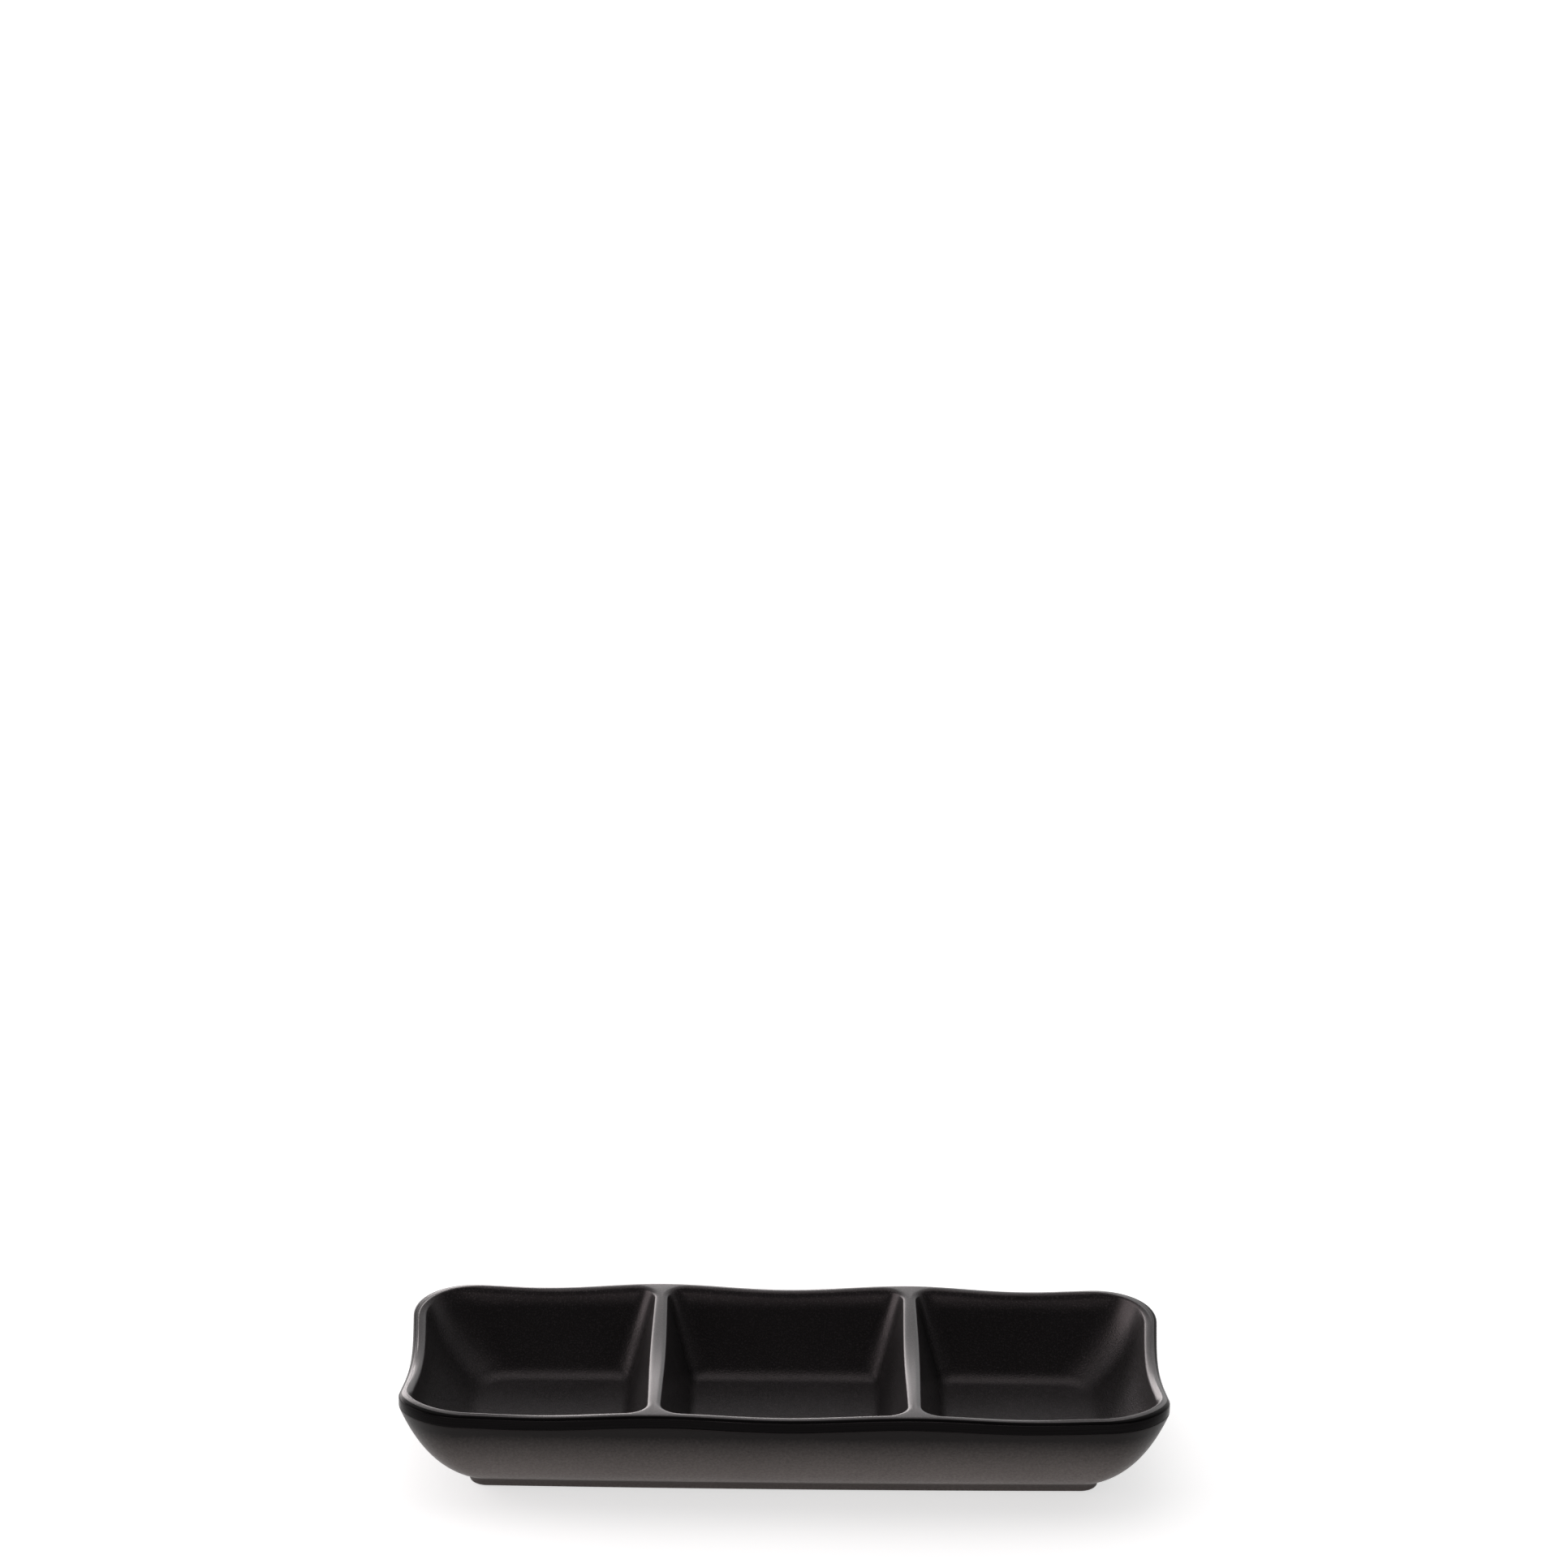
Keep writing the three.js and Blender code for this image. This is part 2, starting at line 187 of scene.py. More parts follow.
def crest_drop(x, y):
    """How far the rim's crest lies below its highest level, over a point of the plan."""
    along = abs(x)
    wave_end = HALF_LENGTH - RIM_CORNER_RADIUS / 2
    outer_phase = clamp01((along - DIVIDER_X) / (wave_end - DIVIDER_X))
    side = OUTER_DIP * wave(2 * outer_phase - 1)
    if along < DIVIDER_X:
        side = MIDDLE_DIP * wave(x / DIVIDER_X)
    at_end = clamp01((along - HALF_LENGTH + RIM_CORNER_RADIUS) / RIM_CORNER_RADIUS)
    at_divider = clamp01(1 - abs(along - DIVIDER_X) / JUNCTION_RADIUS)
    to_corner = clamp01((along - DIVIDER_X) / (HALF_LENGTH - RIM_CORNER_RADIUS - DIVIDER_X))
    across = wave(y / HALF_WIDTH)
    return side + (END_DIP * at_end + DIVIDER_SAG * at_divider) * across + CORNER_DROP * to_corner**2


def slope_curve(top, top_slope, foot, foot_slope):
    """A parabola that leaves two (inset, height) points at their slopes, as the inset at a height."""
    steep = tan_deg(top_slope)
    shallow = tan_deg(foot_slope)
    bend = ((top[1] - foot[1]) * shallow - (foot[0] - top[0])) / (shallow - steep)
    bend_inset = top[0] + bend * steep
    bend_z = top[1] - bend

    def inset_at(z):
        square = top[1] - 2 * bend_z + foot[1]
        slope = 2 * (top[1] - bend_z)
        t = 2 * (top[1] - z) / (slope + math.sqrt(slope**2 - 4 * square * (top[1] - z)))
        return top[0] * (1 - t) ** 2 + 2 * bend_inset * t * (1 - t) + foot[0] * t**2

    return inset_at


def wall_section(wall, offset):
    """A well wall's ends, fillet radius and slope curve, moved into the material by an offset."""
    lip = wall.lip - offset
    fillet = wall.fillet + offset
    top = (wall.land + lip * cos_deg(wall.lip_slope), HEIGHT - wall.lip + lip * sin_deg(wall.lip_slope))
    foot_z = FLOOR_HEIGHT - offset + fillet * (1 - sin_deg(wall.foot_slope))
    foot = (wall.floor_inset - fillet * cos_deg(wall.foot_slope), foot_z)
    return top, foot, fillet, slope_curve(top, wall.lip_slope, foot, wall.foot_slope)


def divider_depth(thickness, offset):
    """How far below the crest a divider is as thick as a width, between walls moved in by an offset."""
    top = wall_section(DIVIDER_WALL, offset)[0]
    return HEIGHT - top[1] + (thickness / 2 - top[0]) / tan_deg(DIVIDER_WALL.lip_slope)


def wall_stations(wall, offset, start_z):
    """(inset, height) pairs down a wall from a start height to the flat floor."""
    _, foot, fillet, inset_at = wall_section(wall, offset)
    stations = []
    for t in steps(WALL_STEPS):
        z = lerp(start_z, foot[1], t)
        stations.append((inset_at(z), z))
    for t in steps(ARC_STEPS)[1:]:
        slope = lerp(wall.foot_slope, 90, t)
        z = FLOOR_HEIGHT - offset + fillet * (1 - sin_deg(slope))
        stations.append((wall.floor_inset - fillet * cos_deg(slope), z))
    return stations


def well_stations(wall, crest):
    """Stations down a well's open side: a crowned lip, then the wall and its fillet."""
    drop = wall.lip * (1 - sin_deg(wall.lip_slope))
    below = wall_stations(wall, 0, crest - drop)
    end = below[0][0]
    start = end - wall.lip * cos_deg(wall.lip_slope) - wall.land + wall.crest
    bend = end - drop * tan_deg(wall.lip_slope)
    lip = []
    for t in steps(ARC_STEPS)[:-1]:
        inset = start * (1 - t) ** 2 + 2 * bend * t * (1 - t) + end * t**2
        lip.append((inset, crest - drop * t**2))
    return lip + below


def hidden_stations(offset):
    """Stations down a well's hidden side, from the ledge under the rim or the roof over a rib."""

    def stations(wall, crest):
        ledge = BAND_HEIGHT + SEAM_DEPTH
        if wall is DIVIDER_WALL:
            ledge = divider_depth(RIB_SEAT_WIDTH, TRAY_WALL)
        return wall_stations(wall, offset, crest - ledge - (offset - TRAY_WALL))

    return stations


def perimeter(long, end, corner):
    """Spots round a rounded rectangle, anticlockwise from its front left, with their outward normals."""
    spots = []
    for side, (nx, ny) in enumerate(((0, -1), (1, 0), (0, 1), (-1, 0))):
        count = end if side % 2 else long
        for i in range(count):
            along = 2 * i / count - 1
            spots.append(Spot(nx or -ny * along, ny or nx * along, nx, ny))
        for i in range(corner):
            turn = 90 * i / corner
            normal = (nx * cos_deg(turn) - ny * sin_deg(turn), ny * cos_deg(turn) + nx * sin_deg(turn))
            spots.append(Spot(nx or -ny, ny or nx, *normal))
    return spots


def plan_point(spot, plan):
    """A perimeter spot on a rounded rectangle between two ends, with its own corner radius at each."""
    radius = plan.low_radius if spot.u < 0 else plan.high_radius
    centre = lerp(plan.low + plan.low_radius, plan.high - plan.high_radius, (spot.u + 1) / 2)
    x = centre + spot.nx * radius
    y = spot.v * (plan.half - radius) + spot.ny * radius
    return x, y * (1 + plan.bow / plan.half * (1 - (x / HALF_LENGTH) ** 2))


def bow_at(z):
    """How far the long sides bow outwards at a height."""
    return lerp(RIM_BOW, FOOT_BOW, clamp01((HEIGHT - z) / (HEIGHT - FOOT_HEIGHT)))


bowl_top = HEIGHT - BAND_HEIGHT
bowl_end = slope_curve((0, bowl_top), BOWL_RIM_SLOPE, (END_TAPER, FOOT_HEIGHT), BOWL_FOOT_SLOPE)
bowl_side = slope_curve((0, bowl_top), BOWL_RIM_SLOPE, (SIDE_TAPER, FOOT_HEIGHT), BOWL_FOOT_SLOPE)


def bowl_plan(z, extra=0):
    """The bowl's outline at a height, set in by an extra amount."""
    share = (bowl_top - z) / (bowl_top - FOOT_HEIGHT)
    end = HALF_LENGTH - bowl_end(z) - extra
    radius = lerp(RIM_CORNER_RADIUS, FOOT_CORNER_RADIUS, share) - extra
    return Plan(-end, end, HALF_WIDTH - bowl_side(z) - extra, radius, radius, bow_at(z))


rim_spots = perimeter(*OUTLINE)
rim_plan = bowl_plan(bowl_top)._replace(bow=0)
rim_crest = [HEIGHT - crest_drop(*plan_point(spot, rim_plan)) for spot in rim_spots]


def band_depth(i):
    """The band's lower edge below the crest: hand-finished, so it wanders a little."""
    turn = math.tau * i / len(rim_spots)
    wander = sum(size * math.sin(count * turn + phase) for count, size, phase in BAND_WAVES)
    return BAND_HEIGHT + BAND_WOBBLE * wander


def bowl_ring(extra_depth, share, set_in=0):
    """A ring of the bowl, part of the way from the band's lower edge down to the foot."""
    ring = []
    for i, spot in enumerate(rim_spots):
        z = lerp(rim_crest[i] - band_depth(i) - extra_depth, FOOT_HEIGHT, share)
        x, y = plan_point(spot, bowl_plan(z))
        ring.append((x - spot.nx * set_in, y - spot.ny * set_in, z))
    return ring


def rim_ring(set_in_of, depth_of):
    """A ring of the rim: set in from the band's face, at a depth below the crest."""
    ring = []
    for i, spot in enumerate(rim_spots):
        x, y = plan_point(spot, bowl_plan(rim_crest[i] - BAND_HEIGHT))
        set_in = set_in_of(spot)
        ring.append((x - spot.nx * set_in, y - spot.ny * set_in, rim_crest[i] - depth_of(i)))
    return ring


def rim_roll(spot):
    """How far the rim takes to round over outwards: furthest in the middle of a corner."""
    return RIM_ROLL + CORNER_ROLL * 2 * abs(spot.nx * spot.ny)


def foot_ring(set_in, z):
    """A ring of the foot: set in from the foot of the bowl, at a height."""
    plan = bowl_plan(FOOT_HEIGHT, set_in)
    return [(*plan_point(spot, plan), z) for spot in rim_spots]


# Each well's low end with its wall, and its high end with its wall
WELLS = (
    (-HALF_LENGTH, END_WALL, -DIVIDER_X, DIVIDER_WALL),
    (-DIVIDER_X, DIVIDER_WALL, DIVIDER_X, DIVIDER_WALL),
    (DIVIDER_X, DIVIDER_WALL, HALF_LENGTH, END_WALL),
)
well_spots = perimeter(*WELL_OUTLINE)


def corner_radius(wall, offset, stations, sides, k):
    """A corner's radius at a station: a set radius at the mouth, and the flat floor's radius below.

    On the open side, the corners at the ends of the dish are wider where the lip rounds over.
    """
    at_end = wall is END_WALL
    floor_radius = END_CORNER_FLOOR_RADIUS if at_end else JUNCTION_FLOOR_RADIUS
    bottom = len(stations) - 1
    last = bottom - ARC_STEPS
    first = last - WALL_STEPS

    def shrink(start, end):
        return (stations[end][0] - stations[start][0] + sides[end][0] - sides[start][0]) / 2

    at_first = JUNCTION_RADIUS - shrink(0, first) + offset
    widening = 0
    if at_end:
        at_first = RIM_CORNER_RADIUS - stations[first][0]
        widening = 0 if offset else CORNER_WIDENING
    if k < first:
        return at_first + shrink(k, first) + widening * (1 - k / first) ** 2
    if k > last:
        return floor_radius + shrink(k, bottom)
    return lerp(at_first, floor_radius + shrink(last, bottom), (k - first) / WALL_STEPS)


def well_rings(well, offset, stations_of):
    """A well's rings from its mouth to its flat floor."""
    low, low_wall, high, high_wall = well
    mouth_plan = Plan(
        low + low_wall.crest,
        high - high_wall.crest,
        HALF_WIDTH - SIDE_WALL.crest,
        RIM_CORNER_RADIUS - low_wall.crest if low_wall is END_WALL else JUNCTION_RADIUS,
        RIM_CORNER_RADIUS - high_wall.crest if high_wall is END_WALL else JUNCTION_RADIUS,
        0,
    )
    columns = []
    for spot in well_spots:
        x, y = plan_point(spot, mouth_plan)
        near = low_wall if spot.u < 0 else high_wall
        crest = HEIGHT - crest_drop(x + spot.nx * near.crest, y + spot.ny * SIDE_WALL.crest)
        lows, highs, sides = (stations_of(wall, crest) for wall in (low_wall, high_wall, SIDE_WALL))
        column = []
        for k, side in enumerate(sides):
            z = lerp(side[1], (lows if spot.u < 0 else highs)[k][1], spot.nx**2)
            plan = Plan(
                low + lows[k][0],
                high - highs[k][0],
                HALF_WIDTH - side[0],
                corner_radius(low_wall, offset, lows, sides, k),
                corner_radius(high_wall, offset, highs, sides, k),
                bow_at(z),
            )
            column.append((*plan_point(spot, plan), z))
        columns.append(column)
    return [list(ring) for ring in zip(*columns)]


class Skin:
    """A closed skin: points, how deep each lies below the crest, outward faces and the polished ones."""

    def __init__(self):
        self.points = []
        self.below = []
        self.faces = []
        self.polished = range(0)

    def add(self, ring, below=0.0):
        first = len(self.points)
        self.points += ring
        self.below += [below] * len(ring)
        return list(range(first, len(self.points)))

    def strip(self, start, end):
        for i in range(len(start) - 1):
            self.faces.append((start[i], end[i], end[i + 1], start[i + 1]))

    def loft(self, rings):
        for start, end in zip(rings, rings[1:]):
            self.strip(start + start[:1], end + end[:1])

    def flat(self, outer, holes=(), faces_down=False):
        """A flat face inside a ring, round any holes in it."""
        loops = [outer, *holes]
        corners = [i for loop in loops for i in loop]
        outlines = [[Vector((*self.points[i][:2], 0)) for i in loop] for loop in loops]
        for a, b, c in tessellate_polygon(outlines):
            p, q, r = (Vector(self.points[corners[k]][:2]) for k in (a, b, c))
            up = (q - p).cross(r - p) > 0
            face = (corners[a], corners[b], corners[c])
            self.faces.append(face if up != faces_down else face[::-1])

    def web(self, outer, inner, faces_down):
        """A web between two loops that start side by side: inner points join the outer ones near them."""

        def apart(a, b):
            return math.dist(self.points[a][:2], self.points[b][:2])

        def face(*corners):
            self.faces.append(corners[::-1] if faces_down else corners)

        out = outer + outer[:1]
        into = inner + inner[:1]
        i = 0
        for j in range(len(inner)):
            after = into[j + 1]
            closing = j == len(inner) - 1
            face(out[i], after, into[j])
            while i < len(outer) and (closing or apart(out[i + 1], after) < apart(out[i], after)):
                face(out[i], out[i + 1], after)
                i += 1

    def rim_web(self, outer, mouths, faces_down=False):
        """The web between the outline and the wells' mouths, with a strip along each divider."""
        left, middle, right = mouths
        long, end, corner = WELL_OUTLINE
        high_start = long + corner
        high_end = high_start + end
        low_start = 2 * long + 3 * corner + end
        low_end = low_start + end
        inner = left[: high_start + 1] + middle[low_end:] + middle[: high_start + 1] + right[low_end:]
        inner += right[: low_start + 1] + middle[high_end : low_start + 1] + left[high_end:]
        self.web(outer, inner, faces_down)
        for low, high in ((left, middle), (middle, right)):
            edges = [low[high_start : high_end + 1], high[low_start : low_end + 1][::-1]]
            self.strip(*(edges[::-1] if faces_down else edges))

    def piece(self, name):
        mesh = bpy.data.meshes.new(name)
        mesh.from_pydata([Vector(point) * MM for point in self.points], [], self.faces)
        mesh.attributes.new("below", "FLOAT", "POINT").data.foreach_set("value", self.below)
        for i in self.polished:
            mesh.polygons[i].material_index = 1
        mesh.shade_smooth()
        mesh.validate()
        made = bpy.data.objects.new(name, mesh)
        bpy.context.scene.collection.objects.link(made)
        return made


def tray_skin():
    """The tray: wells and rim above, the edge band outside, and the wells' backs below."""
    skin = Skin()
    mouths = []
    for well in WELLS:
        rings = [skin.add(ring) for ring in well_rings(well, 0, well_stations)]
        skin.flat(rings[-1])
        skin.loft(rings[::-1])
        mouths.append(rings[0])
    outside = []
    for t in steps(ARC_STEPS):
        depth = RIM_EDGE_RADIUS * (1 - cos_deg(90 * t))
        ring = rim_ring(lambda spot: rim_roll(spot) * (1 - sin_deg(90 * t)), lambda i: depth)
        outside.append(skin.add(ring, depth))
    for t in steps(EDGE_STEPS):
        set_in = SEAM_RADIUS * (1 - cos_deg(90 * t))
        rise = SEAM_RADIUS * (1 - sin_deg(90 * t))
        ring = rim_ring(lambda spot: set_in, lambda i: band_depth(i) - rise)
        outside.append(skin.add(ring, BAND_HEIGHT - rise))
    outside.append(skin.add(rim_ring(lambda spot: SEAM_DEPTH, band_depth), BAND_HEIGHT))
    skin.rim_web(outside[0], mouths)
    skin.loft(outside[: POLISH_START + 1])
    first = len(skin.faces)
    skin.loft(outside[POLISH_START:])
    skin.polished = range(first, len(skin.faces))
    backs = []
    for well in WELLS:
        rings = [skin.add(ring) for ring in well_rings(well, TRAY_WALL, hidden_stations(TRAY_WALL))]
        skin.loft(rings)
        skin.flat(rings[-1], faces_down=True)
        backs.append(rings[0])
    skin.rim_web(outside[-1], backs, faces_down=True)
    return skin


def groove_rings(centre):
    """Rings of a groove under a divider, from its roof down to the recess."""
    offset = SHELL_OFFSET + SHELL_WALL
    _, foot, _, inset_at = wall_section(DIVIDER_WALL, offset)
    roof = HEIGHT - DIVIDER_SAG - divider_depth(GROOVE_ROOF_WIDTH, offset)
    mouth_half = bowl_plan(FOOT_HEIGHT).half - FOOT_WIDTH - GROOVE_END_WALL
    radius = GROOVE_ROOF_WIDTH / 2
    rings = []
    for t in steps(EDGE_STEPS):
        z = lerp(roof, RECESS_DEPTH, t)
        spread = max(foot[1] - z, 0) * tan_deg(DIVIDER_WALL.foot_slope)
        half_x = inset_at(max(z, foot[1])) + spread
        half_y = mouth_half - (z - RECESS_DEPTH) * tan_deg(GROOVE_END_SLOPE)
        plan = Plan(centre - half_x, centre + half_x, half_y, radius, radius, 0)
        rings.append([(*plan_point(spot, plan), z) for spot in perimeter(*GROOVE_OUTLINE)])
    return rings


def shell_skin():
    """The shell: seats for the wells' backs above, the bowl and foot outside, and the recess below."""
    skin = Skin()
    seats = []
    for well in WELLS:
        rings = [skin.add(ring) for ring in well_rings(well, SHELL_OFFSET, hidden_stations(SHELL_OFFSET))]
        skin.flat(rings[-1])
        skin.loft(rings[::-1])
        seats.append(rings[0])
    rings = [bowl_ring(SEAM_GAP, 0, SEAM_DEPTH)]
    for t in steps(EDGE_STEPS):
        set_in = SEAM_RADIUS * (1 - sin_deg(90 * t))
        rings.append(bowl_ring(SEAM_GAP + SEAM_RADIUS * (1 - cos_deg(90 * t)), 0, set_in))
    rings += [bowl_ring(SEAM_GAP + SEAM_RADIUS, share) for share in steps(BOWL_STEPS)[1:]]
    for t in steps(ARC_STEPS)[1:]:
        slope = lerp(BOWL_FOOT_SLOPE, 0, t)
        set_in = FOOT_NECK_RADIUS * (cos_deg(slope) - cos_deg(BOWL_FOOT_SLOPE))
        drop = FOOT_NECK_RADIUS * (sin_deg(BOWL_FOOT_SLOPE) - sin_deg(slope))
        rings.append(foot_ring(set_in, FOOT_HEIGHT - drop))
    face = FOOT_NECK_RADIUS * (1 - cos_deg(BOWL_FOOT_SLOPE))
    for t in steps(ARC_STEPS):
        set_in = face + FOOT_EDGE_RADIUS * (1 - cos_deg(90 * t))
        rings.append(foot_ring(set_in, FOOT_EDGE_RADIUS * (1 - sin_deg(90 * t))))
    for t in steps(EDGE_STEPS):
        set_in = face + FOOT_WIDTH - RECESS_EDGE_RADIUS * (1 - sin_deg(90 * t))
        rings.append(foot_ring(set_in, RECESS_EDGE_RADIUS * (1 - cos_deg(90 * t))))
    rings.append(foot_ring(face + FOOT_WIDTH, RECESS_DEPTH))
    outside = [skin.add(ring) for ring in rings]
    skin.rim_web(outside[0], seats)
    skin.loft(outside)
    grooves = []
    for centre in (-DIVIDER_X, DIVIDER_X):
        rings = [skin.add(ring) for ring in groove_rings(centre)]
        skin.flat(rings[0], faces_down=True)
        skin.loft(rings[::-1])
        grooves.append(rings[-1])
    skin.flat(outside[-1], grooves, faces_down=True)
    return skin


tray = tray_skin().piece("tray")
shell = shell_skin().piece("shell")
for made, node, slot in ((tray, "inner_tray", "tray_black"), (shell, "outer_shell", "shell_charcoal")):
    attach(made, "root")
    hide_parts(node)


class Finish:
    """A material under construction: each call adds one node and returns its output."""

    def __init__(self, name):
        self.material = bpy.data.materials.new(name)
        self.material.use_nodes = True
        self.tree = self.material.node_tree
        self.shader = self.tree.nodes["Principled BSDF"]

    def put(self, socket, value):
        if isinstance(value, bpy.types.NodeSocket):
            self.tree.links.new(value, socket)
        else:
            socket.default_value = value

    def add(self, kind, output=0, settings=None, **inputs):
        node = self.tree.nodes.new(kind)
        for key, value in (settings or {}).items():
            setattr(node, key, value)
        for key, value in inputs.items():
            self.put(node.inputs[int(key[1:]) if key[0] == "_" else key], value)
        return node.outputs[output]

    def attribute(self, name):
        return self.add("ShaderNodeAttribute", "Fac", {"attribute_name": name})

    def place(self, scale=(1, 1, 1)):
        """Object coordinates, stretched."""
        spot = self.add("ShaderNodeTexCoord", "Object")
        return self.add("ShaderNodeMapping", Vector=spot, Scale=scale)

    def noise(self, vector, scale, detail=2.0, roughness=0.5):
        inputs = {"Vector": vector, "Scale": scale, "Detail": detail, "Roughness": roughness}
        return self.add("ShaderNodeTexNoise", **inputs)

    def span(self, value, low, high, to_low=0.0, to_high=1.0):
        return self.add("ShaderNodeMapRange", _0=value, _1=low, _2=high, _3=to_low, _4=to_high)

    def tint(self, factor, a, b):
        return self.add("ShaderNodeMix", 2, {"data_type": "RGBA"}, _0=factor, _6=a, _7=b)

    def math(self, operation, a, b):
        return self.add("ShaderNodeMath", 0, {"operation": operation}, _0=a, _1=b)

    def bump(self, height, distance):
        """A bump of a height map that runs from 0 to 1 over a real distance in metres."""
        return self.add("ShaderNodeBump", Height=height, Distance=distance, Strength=1.0)

    def surface(self, name, value):
        """Set one of the shader's inputs."""
        self.put(self.shader.inputs[name], value)


# Finishes. Colours are linear, in pairs from dark to light, and heights and relief are in metres.
TRAY_BLACKS = ((0.0050, 0.0044, 0.0047, 1), (0.0076, 0.0068, 0.0072, 1))
TRAY_GRAIN_COLOUR = (0.0420, 0.0370, 0.0388, 1)
TRAY_SPECULAR_TINT = (1.0, 0.89, 0.91, 1)
TRAY_SPECULAR = 0.4
TRAY_RELIEF = 0.00013
# The grain and the marks fade out over these heights, to this share on the rim.
TRAY_FADE = (0.017, 0.023)
TRAY_FADED = 0.15
# The roughness goes from the wells' to the rim's over these heights, and marks add or take this much.
TRAY_SMOOTHING = (0.015, 0.024)
TRAY_ROUGHNESS = (0.36, 0.30)
TRAY_MARKS = 0.03

BAND_BLACKS = ((0.0015, 0.0014, 0.0015, 1), (0.0036, 0.0034, 0.0035, 1))
BAND_SPECULAR_TINT = (1.0, 0.92, 0.94, 1)
BAND_SPECULAR = 0.04
BAND_ROUGHNESS = (0.18, 0.34)
BAND_RELIEF = 0.00003
# Lines along the rim: how fine they are along the table, per metre, and down the band, per millimetre
BAND_LINES_ALONG = 25
BAND_LINES_DOWN = 3.5

# On the lower bowl this charcoal is partly painted floor light: its lightness stands in for bounce and
# reflection from the floor.
CHARCOALS = ((0.170, 0.1551, 0.1480, 1), (0.199, 0.1816, 0.1729, 1))
MOTTLE_COLOUR = (0.103, 0.0935, 0.0888, 1)
MOTTLE_SHARE = 0.45
# The outside darkens between these heights, and the edge of that wanders with the mottle.
# This fade is partly the moulding's own colour and partly painted light: painted shading under the band,
# painted floor light on the lower bowl.
FADE_AND_PAINTED_SHADE_COLOUR = (0.006, 0.0056, 0.0056, 1)
FADE_AND_PAINTED_SHADE_RISE = (0.004, 0.0212)
FADE_AND_PAINTED_SHADE_WANDER = 0.0007
# Painted shading: the foot's face is darkened by this share below these heights.
FOOT_PAINTED_SHADE_COLOUR = (0.004, 0.0037, 0.0037, 1)
FOOT_PAINTED_SHADE_SHARE = 0.6
FOOT_PAINTED_SHADE_TOP = (0.0022, 0.0032)
PINHOLE_COLOUR = (0.006, 0.006, 0.006, 1)
PINHOLE_CELLS = 95.0
PINHOLE_REACH = 0.028
PINHOLE_DEPTH = 0.8
WORN_COLOUR = (0.160, 0.150, 0.144, 1)
WORN_TOP = (0.0001, 0.0007)
SHELL_SPECULAR_TINT = (1.0, 0.89, 0.88, 1)
SHELL_SPECULAR = 0.1
SHELL_ROUGHNESS = (0.32, 0.40)
SHELL_RELIEF = 0.00005

FLOOR_COLOUR = (0.78, 0.78, 0.78, 1)
FLOOR_LIFT = 0.62


def tray_finish():
    """Matt black moulding with a sandy grain and faint marks of brushing, both weaker on the rim."""
    finish = Finish("tray_black")
    place = finish.place()
    cloud = finish.noise(place, scale=45, detail=3)
    grain = finish.noise(place, scale=2600, detail=1)
    brushed = finish.noise(finish.place(scale=(1, 1, 0.05)), scale=650)
    black = finish.tint(finish.span(cloud, 0.35, 0.65), *TRAY_BLACKS)
    black = finish.tint(finish.span(grain, 0.5, 0.75, 0.0, 0.9), black, TRAY_GRAIN_COLOUR)
    height = finish.add("ShaderNodeSeparateXYZ", "Z", Vector=place)
    strength = finish.span(height, *TRAY_FADE, 1.0, TRAY_FADED)
    matt = finish.span(height, *TRAY_SMOOTHING, *TRAY_ROUGHNESS)
    for pattern in (cloud, brushed):
        marks = finish.span(pattern, 0.3, 0.7, -TRAY_MARKS, TRAY_MARKS)
        matt = finish.math("ADD", matt, finish.math("MULTIPLY", strength, marks))
    relief = finish.math("MULTIPLY", grain, strength)
    finish.surface("Base Color", black)
    finish.surface("Roughness", matt)
    finish.surface("Specular Tint", TRAY_SPECULAR_TINT)
    finish.surface("Specular IOR Level", TRAY_SPECULAR)
    finish.surface("Normal", finish.bump(relief, TRAY_RELIEF))
    return finish.material


def band_finish():
    """The same black, polished on the edge band, with fine lines along the rim."""
    finish = Finish("tray_band")
    place = finish.place(scale=(BAND_LINES_ALONG, BAND_LINES_ALONG, BAND_LINES_ALONG))
    axes = finish.add("ShaderNodeSeparateXYZ", "X", Vector=place).node.outputs
    depth = finish.math("MULTIPLY", finish.attribute("below"), BAND_LINES_DOWN)
    along = finish.add("ShaderNodeCombineXYZ", X=axes["X"], Y=axes["Y"], Z=depth)
    lines = finish.noise(along, scale=1, detail=3, roughness=0.6)
    finish.surface("Base Color", finish.tint(finish.span(lines, 0.4, 0.7), *BAND_BLACKS))
    finish.surface("Roughness", finish.span(lines, 0.35, 0.7, *BAND_ROUGHNESS))
    finish.surface("Specular Tint", BAND_SPECULAR_TINT)
    finish.surface("Specular IOR Level", BAND_SPECULAR)
    finish.surface("Normal", finish.bump(lines, BAND_RELIEF))
    return finish.material


